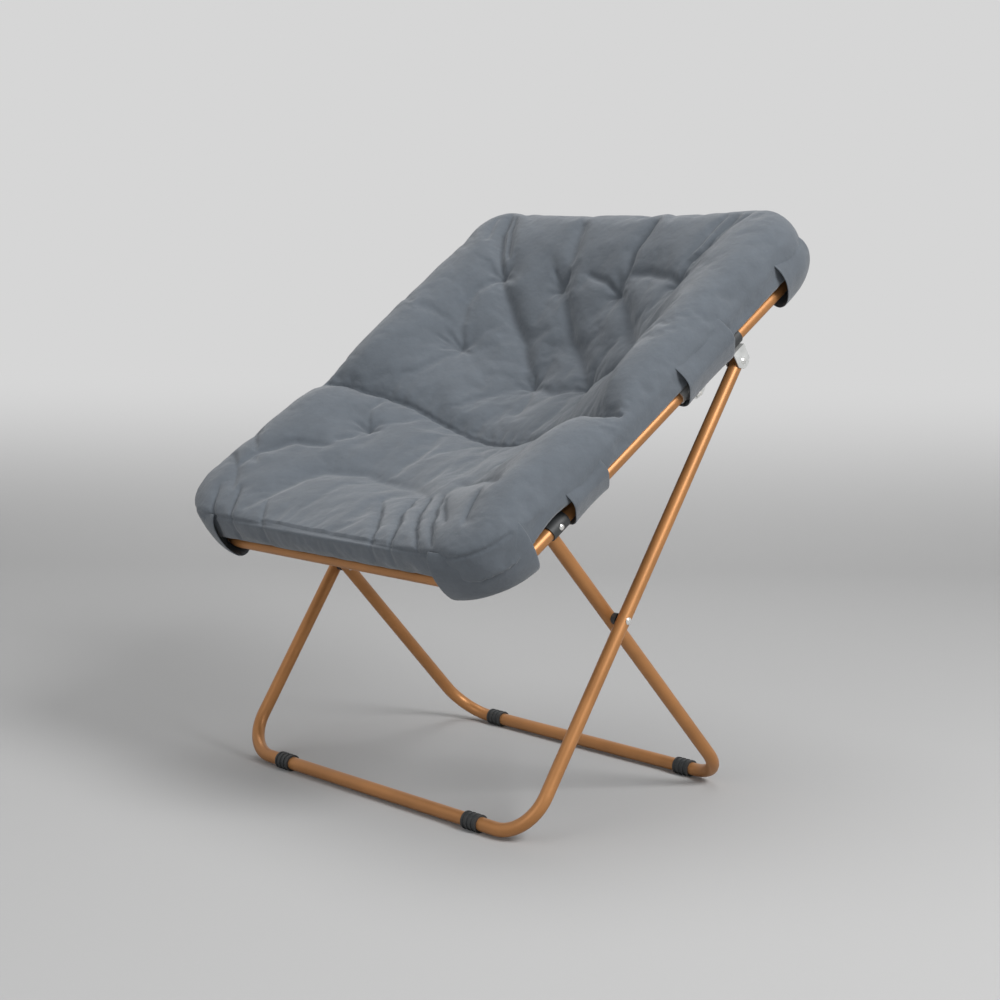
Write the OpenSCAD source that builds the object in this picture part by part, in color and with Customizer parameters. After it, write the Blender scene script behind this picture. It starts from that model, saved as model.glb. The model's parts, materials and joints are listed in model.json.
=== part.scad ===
// Folding saucer chair: two crossed U-shaped tube legs carry a rounded square ring,
// and a padded bowl lies in the ring. The ring is hinged in its sides, so it folds
// up over the legs. All lengths are in millimetres, +Z is up and -Y is the front.

/* [Tube] */
// Outer diameter of the frame tube
tube_d = 19; // [16:0.5:25]
// Wall thickness of the frame tube
tube_wall = 1.5; // [1:0.1:2]

/* [Ring] */
// Width of the ring between the axes of its side tubes
ring_w = 614; // [560:2:680]
// Length of the ring between the axes of its front and back tubes
ring_len = 750; // [730:2:780]
// Bend radius of the ring's corners on the tube axis
ring_bend = 80; // [70:5:100]
// Slope of the ring above level, in degrees
ring_tilt = 34.3; // [30:0.1:38]
// Height of the ring's front tube axis above the floor
ring_front_z = 344; // [320:2:370]

/* [Legs] */
// Bend radius of the legs' floor corners on the tube axis
leg_bend = 60; // [45:5:65]
// Front floor bar's place behind the ring's front tube
front_bar_y = 62; // [40:2:90]
// Rear floor bar's place behind the ring's front tube
rear_bar_y = 487; // [460:2:520]
// Distance along the ring from its front tube to the rear leg's pivot
seat_pivot_u = 127; // [120:1:145]
// Distance along the ring from its back tube to the front leg's pivot
back_pivot_in = 218; // [205:1:235]
// Depth of the front leg's pivot below the ring tube's axis
back_pivot_drop = 32; // [30:0.5:36]
// Depth of the ring hinges' axis below the ring tube's axis
hinge_drop = 18; // [17.5:0.5:20]

/* [Plastic fittings] */
// Wall thickness of the pivot sleeves
sleeve_wall = 2; // [1.5:0.1:2.2]
// Length of the sleeve at each rear leg's pivot
seat_sleeve_len = 33; // [26:1:40]
// Length of the sleeve at each bracket
back_sleeve_len = 30; // [28:1:36]
// Length of a foot sleeve
foot_len = 28; // [22:1:32]
// Wall thickness of a foot sleeve between its ribs
foot_wall = 2; // [1.5:0.1:3]
// Height of a foot sleeve's ribs
foot_rib_h = 1; // [0.6:0.1:1.5]
// Number of ribs on a foot sleeve
foot_ribs = 4; // [3:1:6]
// Bare bar between a front foot sleeve and its leg's bend
front_foot_gap = 28; // [5:1:60]
// Bare bar between a rear foot sleeve and its leg's bend
rear_foot_gap = 5; // [3:1:60]
// Gap between a front leg tube and a rear leg tube at their crossing
cross_gap = 7; // [5:0.5:9]

/* [Metal fittings] */
// Sheet thickness of the brackets
bracket_t = 1.5; // [1.2:0.1:1.8]
// Length of a bracket along the ring
bracket_len = 26; // [24:1:30]
// Diameter of the leg pivot rivets
pivot_d = 6; // [5:0.5:7]
// Diameter of the ring hinge pins and of the small rivets
rivet_d = 5; // [4:0.5:5.5]
// Height of a rivet head
head_h = 2; // [1.5:0.1:2.5]
// Length of a hinge collar along the ring
collar_len = 30; // [26:1:36]

/* [Cushion] */
// How far the cushion's rim stands outside the ring's axis
pad_out = 28; // [20:1:34]
// How far the cushion's back edge stands outside the ring's axis
pad_back_out = 6; // [0:1:20]
// Corner radius of the cushion's outline
pad_corner = 80; // [70:5:110]
// Height of the rim's outer edge above the ring's axis
pad_rim_w = 32; // [28:1:36]
// Height of the side and back ridges above the ring's axis
pad_ridge_w = 80; // [66:1:90]
// Height of the front edge's middle above the ring's axis
pad_front_w = 52; // [44:1:60]
// Distance of the side ridges from the rim
pad_ridge_in = 70; // [60:1:80]
// Distance of the front and back edges' tops from the rim
pad_end_in = 32; // [28:1:45]
// Depth of the hollow below the ring's axis
bowl_deep = 50; // [40:1:60]
// Length of the seat's slope from the front edge down to the hollow
seat_slope = 400; // [360:5:420]
// Length of the back's rise from the hollow up to the top edge
back_slope = 275; // [250:5:300]
// Thickness of the cushion under the hollow
pad_thick = 52; // [45:1:65]
// Distance along the ring from its front tube to the cushion's cross seam
seam_in = 330; // [310:1:345]
// Depth of a sewn tuft
tuft_deep = 16; // [8:1:20]

/* [Hidden] */
$fn = 48;
// Clearance round a running pin, and of a sleeve on its tube
run_gap = 0.05;
// Gap that keeps cloth clear of its neighbours
cloth_gap = 0.3;
// Gap between flat faces that move past each other
side_gap = 0.3;
// How far a cut runs past the face that it opens
over = 1;
tube_r = tube_d / 2;
bore_r = tube_r - tube_wall;
ring_half = ring_w / 2;
sleeve_r = tube_r + sleeve_wall;
back_pivot_u = ring_len - back_pivot_in;
pivot_r = pivot_d / 2;
rivet_r = rivet_d / 2;

// Feet: the ribs are cut flat where they stand
foot_flat = 0.7;
foot_r = tube_r + foot_wall + foot_rib_h;
foot_rib_w = 3;
floor_axis_z = foot_r - foot_flat;
rib_middle_share = 0.5;

// Side view places are [y, z] pairs behind the ring's front tube and above the floor
along = [cos(ring_tilt), sin(ring_tilt)];
normal = [-sin(ring_tilt), cos(ring_tilt)];
function on_side(u, w) = [0, ring_front_z] + u * along + w * normal;
front_bar = [front_bar_y, floor_axis_z];
rear_bar = [rear_bar_y, floor_axis_z];
seat_pivot = on_side(seat_pivot_u, 0);
back_pivot = on_side(back_pivot_u, -back_pivot_drop);
function cross2(a, b) = a[0] * b[1] - a[1] * b[0];
function meet(p, d, q, e) = p + d * cross2(q - p, e) / cross2(d, e);
front_run = back_pivot - front_bar;
rear_run = seat_pivot - rear_bar;
leg_cross = meet(front_bar, front_run, rear_bar, rear_run);
front_angle = atan2(front_run[1], front_run[0]);
rear_angle = atan2(rear_run[1], rear_run[0]);
// How far the legs' tubes run past their top pivots
front_leg_past = 11;
rear_leg_past = 7;
front_leg_len = norm(front_run) + front_leg_past;
rear_leg_len = norm(rear_run) + rear_leg_past;
rear_half = ring_half - tube_d - cross_gap;

// The chair folds flat when the two arms from the crossing are as unequal as the two
// parts of the ring's side between its pivots: the ring hinge's place follows from that
arm_diff = norm(back_pivot - leg_cross) - norm(seat_pivot - leg_cross);
span = back_pivot_u - seat_pivot_u;
hinge_rise = back_pivot_drop - hinge_drop;
fold_m = pow(span, 2) - pow(hinge_drop, 2) + pow(arm_diff, 2) + pow(hinge_rise, 2);
fold_a = 4 * (pow(span, 2) - pow(arm_diff, 2));
fold_b = 8 * pow(arm_diff, 2) * span - 4 * span * fold_m;
fold_c = pow(fold_m, 2) - 4 * pow(arm_diff, 2) * (pow(span, 2) + pow(hinge_rise, 2));
hinge_u = seat_pivot_u + (sqrt(pow(fold_b, 2) - 4 * fold_a * fold_c) - fold_b) / (2 * fold_a);
// Gap between the butting ends of the ring's two tubes
butt_gap = 0.4;

// Leg plugs
plug_in = 5;
plug_cap = 2;

// Brackets
cheek_in = tube_r + side_gap;
bracket_half = cheek_in + bracket_t;
bracket_top = sleeve_r + run_gap;
bracket_below = 10;
bracket_chamfer = 8;
tail_h = 3;
head_r_share = 1.7;

// Ring hinges
eye_r = 5.5;
collar_wall = 1.65;
collar_r = tube_r + run_gap + collar_wall;
tongue_w = 6;
ear_w = 2.5;
tongue_clear = 0.9;
tongue_top = tube_r + tongue_clear;
ear_bite = 0.5;
ear_top = tube_r - ear_bite;
collar_set = 4;
plate_tail = 20;

// Fabric holders
cloth_t = 1.8;
sock_r = tube_r + cloth_gap + cloth_t;
pocket_drop = 10;
loop_drop = 3;
pocket_angle = 74;
loop_len = 72;
loop_past = 5;

// Cushion: its underside's run over the tube, and shares of its width and of each pad's length
pad_under = sock_r + cloth_gap;
pad_half = ring_half + pad_out;
pad_flat_run = 47;
pad_flat_in = pad_out + pad_flat_run;
pad_reach = 150;
pad_roll_in = 24;
seam_gap = 0.4;
seam_dip = 14;
kink_drop = 24;
kink_reach = 42;
corner_drop = 12;
hollow_power = 2.2;
seam_reach = 26;
tuft_reach = 26;
lat_shares = [-1, -0.985, -0.95, -0.9, -0.82, -0.72, -0.63, -0.537, -0.45, -0.36, -0.27,
    -0.179, -0.09, 0, 0.09, 0.179, 0.27, 0.36, 0.45, 0.537, 0.63, 0.72, 0.82, 0.9,
    0.95, 0.985, 1];
seat_shares = [0, 0.04, 0.1, 0.18, 0.27, 0.36, 0.45, 0.54, 0.63, 0.71, 0.78, 0.84, 0.89,
    0.93, 0.96, 0.983, 0.996];
back_shares = [0, 0.03, 0.07, 0.13, 0.2, 0.27, 0.33, 0.395, 0.46, 0.525, 0.585, 0.645,
    0.705, 0.765, 0.82, 0.855, 0.89, 0.92, 0.95, 0.975, 0.99, 0.997];
tuft_lat_shares = [-0.537, -0.179, 0.179, 0.537];
seat_tuft_shares = [0.27];
back_tuft_shares = [0.33, 0.645];

pad_front_u = -pad_out;
pad_back_u = ring_len + pad_back_out;
seat_len = seam_in - pad_front_u;
back_len = pad_back_u - seam_in;
function clamp01(t) = max(0, min(1, t));
function smooth(t) = let (c = clamp01(t)) c * c * (3 - 2 * c);
// Half width of the outline at u, with round corners
function half_at(u) =
    let (e = min(u - pad_front_u, pad_back_u - u), c = max(0, pad_corner - e))
    pad_half - pad_corner + sqrt(max(0, pow(pad_corner, 2) - pow(c, 2)));
// Distance inwards from the outline
function inward(u, v) =
    let (e = min(u - pad_front_u, pad_back_u - u),
         cx = abs(v) - (pad_half - pad_corner), cy = pad_corner - e)
    (cx > 0 && cy > 0) ? max(0, pad_corner - norm([cx, cy])) : min(e, pad_half - abs(v));
// Height of the side ridges at u: a little lower in the front corners and at the cross seam
function ridge_at(u) =
    pad_ridge_w - corner_drop * (1 - smooth((u - pad_front_u) / pad_ridge_in))
    - kink_drop * exp(-pow((u - seam_in) / kink_reach, 2));
// Height of the middle line at u: down the seat, then up the back
function hollow_at(u) =
    pad_front_w - (pad_front_w + bowl_deep) * smooth((u - pad_front_u) / seat_slope)
    + (pad_ridge_w + bowl_deep) * smooth((u - pad_back_u + pad_end_in + back_slope) / back_slope);
function tufts_at(u, v, rows, u0, len, way) =
    max([for (r = rows, c = tuft_lat_shares)
        exp(-(pow(u - u0 - way * r * len, 2) + pow(v - c * pad_half, 2)) / pow(tuft_reach, 2))]);
function rise(t) = let (c = clamp01(t)) sqrt(max(0, 1 - (1 - c) * (1 - c)));
function top_w(u, v, rows, u0, len, way) =
    let (d = inward(u, v), end = min(u - pad_front_u, pad_back_u - u),
         low = hollow_at(u), share = clamp01(abs(v) / (pad_half - pad_ridge_in)),
         form = low + (ridge_at(u) - low) * pow(share, hollow_power),
         roll = pad_end_in + (pad_ridge_in - pad_end_in) * smooth(end / pad_corner))
    pad_rim_w + (form - pad_rim_w) * rise(d / roll)
    - tuft_deep * tufts_at(u, v, rows, u0, len, way)
    - seam_dip * exp(-pow((u - seam_in) / seam_reach, 2)) * clamp01(d / pad_ridge_in);
function under_w(u, v) =
    let (d = inward(u, v), deep = pad_under - hollow_at(u) + pad_thick,
         t = clamp01((d - pad_flat_in) / pad_reach))
    d < pad_flat_in
        ? pad_rim_w - (pad_rim_w - pad_under) * rise(d / pad_roll_in)
        : pad_under - deep * (1 - (1 - t) * (1 - t));
function pad_point(u, v, w) = [v, on_side(u, w)[0], on_side(u, w)[1]];
// One closed loop a station: over the top from left to right, back underneath
function pad_loop(u, rows, u0, len, way) =
    let (h = half_at(u), last = len(lat_shares) - 1)
    concat(
        [for (s = lat_shares) pad_point(u, s * h, top_w(u, s * h, rows, u0, len, way))],
        [for (i = [last - 1 : -1 : 1]) let (v = lat_shares[i] * h) pad_point(u, v, under_w(u, v))]);
function pad_loops(shares, rows, u0, len, way) =
    [for (s = shares) each pad_loop(u0 + way * s * len, rows, u0, len, way)];
loop_n = 2 * len(lat_shares) - 2;
function pad_skin(stations, flip) =
    let (n = loop_n, m = len(lat_shares), z = (stations - 1) * n)
    [for (f = concat(
        [for (k = [0 : stations - 2], i = [0 : n - 1])
            let (j = (i + 1) % n) each [[k * n + i, k * n + j, k * n + n + i],
                [k * n + j, k * n + n + j, k * n + n + i]]],
        [for (i = [0 : m - 2]) let (a = (n - i) % n, b = n - i - 1)
            each [[i, a, i + 1], [a, b, i + 1]]],
        [for (i = [0 : m - 2]) let (a = (n - i) % n, b = n - i - 1)
            each [[z + i, z + i + 1, z + a], [z + a, z + i + 1, z + b]]]))
        if (f[0] != f[1] && f[1] != f[2] && f[0] != f[2]) flip ? [f[0], f[2], f[1]] : f];
seat_u0 = seam_in - seam_gap / 2;
back_u0 = seam_in + seam_gap / 2;
seat_points = pad_loops(seat_shares, seat_tuft_shares, seat_u0, seat_len, -1);
back_points = pad_loops(back_shares, back_tuft_shares, back_u0, back_len, 1);
// The origin lies on the floor under the middle of the whole chair, which reaches from
// the cushion's front edge to the back pockets
back_reach = ring_len * along[0] - pocket_drop * normal[0] + sock_r;
pad_reach_back = max([for (p = back_points) p[1]]);
middle_y = (min([for (p = seat_points) p[1]]) + max(back_reach, pad_reach_back)) / 2;

bronze = [0.6, 0.42, 0.24];
plastic = [0.22, 0.23, 0.23];
steel = [0.75, 0.75, 0.74];
slate = [0.42, 0.46, 0.5];

// Frames to build in: the chair's middle, the ring's plane and a leg's plane
module in_chair() translate([0, -middle_y, 0]) children();
module in_ring() in_chair() translate([0, 0, ring_front_z]) rotate([ring_tilt, 0, 0]) children();
module in_side(p, angle) in_chair() translate([0, p[0], p[1]]) rotate([angle, 0, 0]) children();
// Both sides of the chair, or one of them
module sides() for (s = [-1, 1]) scale_side(s) children();
module scale_side(s) if (s > 0) children(); else mirror([1, 0, 0]) children();
// A cylinder along X from x0 to x1
module rod_x(r, x0, x1) translate([x0, 0, 0]) rotate([0, 90, 0]) cylinder(r = r, h = x1 - x0);
// A cylinder along Y from y0 to y1
module rod_y(r, y0, y1) translate([0, y0, 0]) rotate([-90, 0, 0]) cylinder(r = r, h = y1 - y0);

// Solid U of round bar: its bar lies on X, its arms run along +Y to len
module u_bar(r, half, bend, len) {
    rod_x(r, -(half - bend), half - bend);
    sides() {
        translate([half - bend, bend, 0]) rotate([0, 0, -90])
            rotate_extrude(angle = 90) translate([bend, 0]) circle(r = r);
        translate([half, 0, 0]) rod_y(r, bend, len);
    }
}
module u_tube(half, bend, len) difference() {
    u_bar(tube_r, half, bend, len);
    u_bar(bore_r, half, bend, len + over);
}
// A domed rivet head of height head_h whose flat side is at the origin, pointing to +X
module head(r) rotate([0, 90, 0]) intersection() {
    cylinder(r = r, h = head_h);
    let (ball = (r * r + head_h * head_h) / (2 * head_h))
        translate([0, 0, head_h - ball]) sphere(r = ball, $fn = 64);
}
// A rivet along X between two faces, with a head at each end
module rivet_x(r, x0, x1) {
    rod_x(r, x0, x1);
    translate([x1, 0, 0]) head(r * head_r_share);
    translate([x0, 0, 0]) mirror([1, 0, 0]) head(r * head_r_share);
}
// A ring of wall between two radii along Y
module collar_y(r_out, r_in, y0, y1) difference() {
    rod_y(r_out, y0, y1);
    rod_y(r_in, y0 - over, y1 + over);
}

module front_leg_tube() color(bronze) in_side(front_bar, front_angle) difference() {
    u_tube(ring_half, leg_bend, front_leg_len);
    for (at = [norm(leg_cross - front_bar), norm(front_run)])
        translate([0, at, 0]) rod_x(pivot_r + run_gap, -pad_half, pad_half);
}
module rear_leg_tube() color(bronze) in_side(rear_bar, rear_angle) difference() {
    u_tube(rear_half, leg_bend, rear_leg_len);
    translate([0, norm(leg_cross - rear_bar), 0]) rod_x(pivot_r + run_gap, -pad_half, pad_half);
}
module leg_plug(len) translate([0, len, 0]) {
    rod_y(bore_r - run_gap, -plug_in, 0);
    rod_y(tube_r, 0, plug_cap);
}
module front_leg_plugs() color(plastic) in_side(front_bar, front_angle)
    sides() translate([ring_half, 0, 0]) leg_plug(front_leg_len);
module rear_leg_plugs() color(plastic) in_side(rear_bar, rear_angle)
    sides() translate([rear_half, 0, 0]) leg_plug(rear_leg_len);

// Ribbed sleeve on a floor bar, cut flat on the floor
module foot() difference() {
    union() {
        rod_x(tube_r + foot_wall, -foot_len / 2, foot_len / 2);
        for (i = [0 : foot_ribs - 1])
            let (x = (i / (foot_ribs - 1) - rib_middle_share) * (foot_len - foot_rib_w))
            rod_x(foot_r, x - foot_rib_w / 2, x + foot_rib_w / 2);
    }
    rod_x(tube_r + run_gap, -foot_len, foot_len);
    translate([-foot_len, -foot_r, -foot_r - over]) cube([2 * foot_len, 2 * foot_r, over + foot_flat]);
}
// The two feet of a floor bar, each a gap in from the bend at its end
module foot_pair(half, gap) sides() translate([half - leg_bend - gap - foot_len / 2, 0, 0]) foot();
module front_feet() color(plastic) in_side(front_bar, 0)
    foot_pair(ring_half, front_foot_gap);
module rear_feet() color(plastic) in_side(rear_bar, 0)
    foot_pair(rear_half, rear_foot_gap);

module cross_rivets() color(steel) in_side(leg_cross, 0) sides()
    rivet_x(pivot_r, rear_half - tube_r - run_gap, ring_half + tube_r + run_gap);
module cross_washers() color(plastic) in_side(leg_cross, 0) sides() difference() {
    rod_x(tube_r - tube_wall, rear_half + tube_r + run_gap, ring_half - tube_r - run_gap);
    rod_x(pivot_r + run_gap, 0, ring_half);
}

module ring_seat_tube() color(bronze) in_ring() difference() {
    u_tube(ring_half, ring_bend, hinge_u - butt_gap / 2);
    translate([0, seat_pivot_u, 0]) rod_x(rivet_r + run_gap, -pad_half, pad_half);
    translate([0, hinge_u - collar_set - collar_len / 2, 0])
        rod_x(rivet_r + run_gap, -pad_half, pad_half);
}
module ring_back_tube() color(bronze) in_ring() difference() {
    translate([0, ring_len, 0]) mirror([0, 1, 0])
        u_tube(ring_half, ring_bend, ring_len - hinge_u - butt_gap / 2);
    translate([0, hinge_u + collar_set + collar_len / 2, 0])
        rod_x(rivet_r + run_gap, -pad_half, pad_half);
    sides() translate([ring_half, back_pivot_u, -tube_d])
        cylinder(r = rivet_r + run_gap, h = tube_d);
}

module seat_sleeve(s) color(plastic) in_ring() scale_side(s)
    translate([ring_half, seat_pivot_u, 0]) difference() {
        collar_y(sleeve_r, tube_r + run_gap, -seat_sleeve_len / 2, seat_sleeve_len / 2);
        rod_x(rivet_r + run_gap, -tube_d, tube_d);
    }
module seat_sleeve_left() seat_sleeve(-1);
module seat_sleeve_right() seat_sleeve(1);
// Outer heads stand on the sleeves, and the tails stop just short of the rear legs
module seat_sleeve_rivets() color(steel) in_ring() translate([0, seat_pivot_u, 0]) sides() {
    rod_x(rivet_r, rear_half + tube_r + side_gap, ring_half + sleeve_r + run_gap);
    translate([ring_half + sleeve_r + run_gap, 0, 0]) head(rivet_r * head_r_share);
}

// Plate outlines of the ring hinges are [u, w] from the hinge's axis towards +u
module hinge_plate(top, x0, x1) translate([x0, 0, 0]) rotate([90, 0, 90])
    linear_extrude(x1 - x0) polygon([
        [0, -eye_r], [eye_r, -eye_r], [collar_set + plate_tail, hinge_drop - collar_r - over],
        [collar_set + plate_tail, hinge_drop - top], [collar_set + over, hinge_drop - top],
        [0, eye_r]]);
module hinge_eye(x0, x1) rod_x(eye_r, x0, x1);
module hinge_collar() difference() {
    translate([0, 0, hinge_drop])
        collar_y(collar_r, tube_r + run_gap, collar_set, collar_set + collar_len);
    translate([0, collar_set + collar_len / 2, hinge_drop])
        rod_x(rivet_r + run_gap, -tube_d, tube_d);
}
module hinge_at(s) in_ring() scale_side(s) translate([ring_half, hinge_u, -hinge_drop]) children();
module hinge_tongue(s) color(steel) hinge_at(s) mirror([0, 1, 0]) difference() {
    union() {
        hinge_collar();
        hinge_plate(tongue_top, -tongue_w / 2, tongue_w / 2);
        hinge_eye(-tongue_w / 2, tongue_w / 2);
    }
    rod_x(rivet_r + run_gap, -tube_d, tube_d);
}
module hinge_tongue_left() hinge_tongue(-1);
module hinge_tongue_right() hinge_tongue(1);
module hinge_clevis(s) color(steel) hinge_at(s) difference() {
    union() {
        hinge_collar();
        for (k = [0, 1]) mirror([k, 0, 0]) let (x = tongue_w / 2 + side_gap) {
            hinge_plate(ear_top, x, x + ear_w);
            hinge_eye(x, x + ear_w);
        }
    }
    rod_x(rivet_r + run_gap, -tube_d, tube_d);
}
module hinge_clevis_left() hinge_clevis(-1);
module hinge_clevis_right() hinge_clevis(1);
module collar_rivets(way) color(steel) in_ring() sides()
    translate([ring_half, hinge_u + way * (collar_set + collar_len / 2), 0])
        rivet_x(rivet_r, -collar_r - run_gap, collar_r + run_gap);
module hinge_tongue_rivets() collar_rivets(-1);
module hinge_clevis_rivets() collar_rivets(1);
module hinge_pins() color(steel) for (s = [-1, 1]) hinge_at(s)
    let (x = tongue_w / 2 + side_gap + ear_w + run_gap) rivet_x(rivet_r, -x, x);

module back_sleeve(s) color(plastic) in_ring() scale_side(s)
    translate([ring_half, back_pivot_u, 0]) difference() {
        collar_y(sleeve_r, tube_r + run_gap, -back_sleeve_len / 2, back_sleeve_len / 2);
        translate([0, 0, -tube_d]) cylinder(r = rivet_r + run_gap, h = tube_d);
    }
module back_sleeve_left() back_sleeve(-1);
module back_sleeve_right() back_sleeve(1);
// Channel bracket: a web under the sleeve and two cheeks beside the leg's top
module bracket(s) color(steel) in_ring() scale_side(s) translate([ring_half, back_pivot_u, 0])
    difference() {
        translate([-bracket_half, 0, 0]) rotate([90, 0, 90]) linear_extrude(2 * bracket_half)
            let (low = back_pivot_drop + bracket_below, half = bracket_len / 2) polygon([
                [-half, -bracket_top], [-half, bracket_chamfer - low],
                [bracket_chamfer - half, -low], [half - bracket_chamfer, -low],
                [half, bracket_chamfer - low], [half, -bracket_top]]);
        translate([-cheek_in, -bracket_len, -back_pivot_drop - 2 * bracket_below])
            cube([2 * cheek_in, 2 * bracket_len,
                back_pivot_drop + 2 * bracket_below - bracket_top - bracket_t]);
        translate([0, 0, -back_pivot_drop]) rod_x(pivot_r + run_gap, -tube_d, tube_d);
        translate([0, 0, -tube_d]) cylinder(r = rivet_r + run_gap, h = tube_d);
    }
module bracket_left() bracket(-1);
module bracket_right() bracket(1);
// Blind rivets: flat head under the web, tail inside the tube
module bracket_rivets() color(steel) in_ring() sides()
    translate([ring_half, back_pivot_u, -bracket_top - bracket_t - run_gap]) {
        let (inside = bracket_top + bracket_t + run_gap - bore_r + tube_wall) {
            cylinder(r = rivet_r, h = inside);
            translate([0, 0, inside]) cylinder(r1 = rivet_r, r2 = rivet_r - over, h = tail_h);
        }
        translate([0, 0, -over]) cylinder(r = rivet_r * head_r_share, h = over);
    }
module bracket_pins() color(steel) in_side(back_pivot, 0) sides() translate([ring_half, 0, 0])
    rivet_x(pivot_r, -bracket_half - run_gap, bracket_half + run_gap);

// Cloth sock round the tube: a wall whose lower side hangs by drop
sock_step = 15;
function sock_arc(a0, a1, y) = [for (a = [a0 : sock_step : a1]) [sock_r * cos(a), y + sock_r * sin(a)]];
module sock_outline(drop) difference() {
    polygon(concat(sock_arc(0, 180, 0), sock_arc(180, 360, -drop)));
    circle(r = tube_r + cloth_gap);
}
// A pocket on a corner of the ring, and a loop on its side, on the +X side
module pocket_wall() translate([ring_half - ring_bend, ring_bend, 0]) rotate([0, 0, -90])
    rotate_extrude(angle = pocket_angle) translate([ring_bend, 0]) sock_outline(pocket_drop);
module front_pocket(s) color(slate) in_ring() scale_side(s) pocket_wall();
module back_pocket(s) color(slate) in_ring() scale_side(s)
    translate([0, ring_len, 0]) mirror([0, 1, 0]) pocket_wall();
module front_pocket_left() front_pocket(-1);
module front_pocket_right() front_pocket(1);
module back_pocket_left() back_pocket(-1);
module back_pocket_right() back_pocket(1);
module side_loop(s, u0, u1) color(slate) in_ring() scale_side(s)
    translate([ring_half, u1, 0]) rotate([90, 0, 0]) linear_extrude(u1 - u0) sock_outline(loop_drop);
front_loop_u = seat_pivot_u + seat_sleeve_len / 2 + loop_past;
module front_loop_left() side_loop(-1, front_loop_u, front_loop_u + loop_len);
module front_loop_right() side_loop(1, front_loop_u, front_loop_u + loop_len);
back_loop_u0 = hinge_u + collar_set + collar_len + cloth_gap;
back_loop_u1 = back_pivot_u - back_sleeve_len / 2 - cloth_gap;
module back_loop_left() side_loop(-1, back_loop_u0, back_loop_u1);
module back_loop_right() side_loop(1, back_loop_u0, back_loop_u1);

module seat_pad() color(slate) in_chair()
    polyhedron(points = seat_points, faces = pad_skin(len(seat_shares), false));
module back_pad() color(slate) in_chair()
    polyhedron(points = back_points, faces = pad_skin(len(back_shares), true));

front_leg_tube();
front_leg_plugs();
front_feet();
cross_rivets();
cross_washers();
rear_leg_tube();
rear_leg_plugs();
rear_feet();
ring_seat_tube();
seat_sleeve_left();
seat_sleeve_right();
seat_sleeve_rivets();
hinge_tongue_left();
hinge_tongue_right();
hinge_tongue_rivets();
seat_pad();
front_pocket_left();
front_pocket_right();
front_loop_left();
front_loop_right();
ring_back_tube();
back_sleeve_left();
back_sleeve_right();
bracket_left();
bracket_right();
bracket_rivets();
bracket_pins();
hinge_clevis_left();
hinge_clevis_right();
hinge_clevis_rivets();
hinge_pins();
back_pad();
back_pocket_left();
back_pocket_right();
back_loop_left();
back_loop_right();
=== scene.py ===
import json
import math

import bpy
import numpy as np
from mathutils import Matrix, Vector
from mathutils import noise


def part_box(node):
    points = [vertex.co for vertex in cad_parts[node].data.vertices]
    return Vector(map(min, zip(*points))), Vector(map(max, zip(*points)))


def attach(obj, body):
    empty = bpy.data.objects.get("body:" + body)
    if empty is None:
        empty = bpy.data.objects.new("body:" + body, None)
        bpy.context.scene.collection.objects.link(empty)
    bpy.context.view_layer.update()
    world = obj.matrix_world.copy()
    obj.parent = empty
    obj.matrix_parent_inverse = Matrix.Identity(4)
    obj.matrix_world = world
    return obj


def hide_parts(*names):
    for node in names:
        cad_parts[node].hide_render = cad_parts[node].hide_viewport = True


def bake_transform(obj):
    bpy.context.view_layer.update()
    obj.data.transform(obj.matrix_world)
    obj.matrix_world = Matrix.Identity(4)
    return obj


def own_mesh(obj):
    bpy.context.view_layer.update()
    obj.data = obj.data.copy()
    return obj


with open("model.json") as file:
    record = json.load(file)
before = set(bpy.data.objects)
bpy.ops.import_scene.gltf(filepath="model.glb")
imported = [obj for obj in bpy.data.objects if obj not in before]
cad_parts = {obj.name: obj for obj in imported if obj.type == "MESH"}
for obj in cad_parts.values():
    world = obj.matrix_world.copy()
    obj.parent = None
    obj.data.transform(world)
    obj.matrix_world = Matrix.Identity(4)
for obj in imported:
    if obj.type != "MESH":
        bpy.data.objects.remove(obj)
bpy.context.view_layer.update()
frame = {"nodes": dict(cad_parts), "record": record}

bl_info = {
    "name": "Folding saucer chair",
    "version": (1, 0, 0),
    "blender": (4, 5, 0),
    "location": "3D View > Sidebar > Saucer chair",
    "description": "Cushion, straps and finishes of a folding saucer chair",
    "category": "Object",
}

# The ring in metres: half its width and its corners, both to the tube's axis. The rest follows the frame
RING_HALF = 0.307
RING_BEND = 0.080
TILT = math.radians(34.3)
TUBE_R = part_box("front_leg_plugs")[1].x - RING_HALF
RING_FRONT_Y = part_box("ring_seat_tube")[0].y + TUBE_R
RING_FRONT_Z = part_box("ring_seat_tube")[0].z + TUBE_R
RING_LEN = (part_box("ring_back_tube")[1].y - TUBE_R - RING_FRONT_Y) / math.cos(TILT)
ALONG = np.array([0.0, math.cos(TILT), math.sin(TILT)])
NORMAL = np.array([0.0, -math.sin(TILT), math.cos(TILT)])
ACROSS = np.array([1.0, 0.0, 0.0])
ORIGIN = np.array([0.0, RING_FRONT_Y, RING_FRONT_Z])
SIDES = (("left", -1), ("right", 1))


def on_ring(u, v, w):
    """A point u along the ring, v across it and w above it, in the row frame."""
    u, v, w = (np.asarray(a, float)[..., None] for a in (u, v, w))
    return ORIGIN + u * ALONG + v * ACROSS + w * NORMAL


def to_ring(points):
    """The (u, v, w) of points in the row frame."""
    return np.stack([(points - ORIGIN) @ a for a in (ALONG, ACROSS, NORMAL)], axis=-1)


def smooth(t):
    """Eases a share from 0 to 1."""
    t = np.clip(t, 0, 1)
    return t * t * (3 - 2 * t)


def rise(t):
    """A quarter circle from 0 up to 1."""
    t = np.clip(t, 0, 1)
    return np.sqrt(np.clip(1 - (1 - t) ** 2, 0, 1))


# Properties

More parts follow.
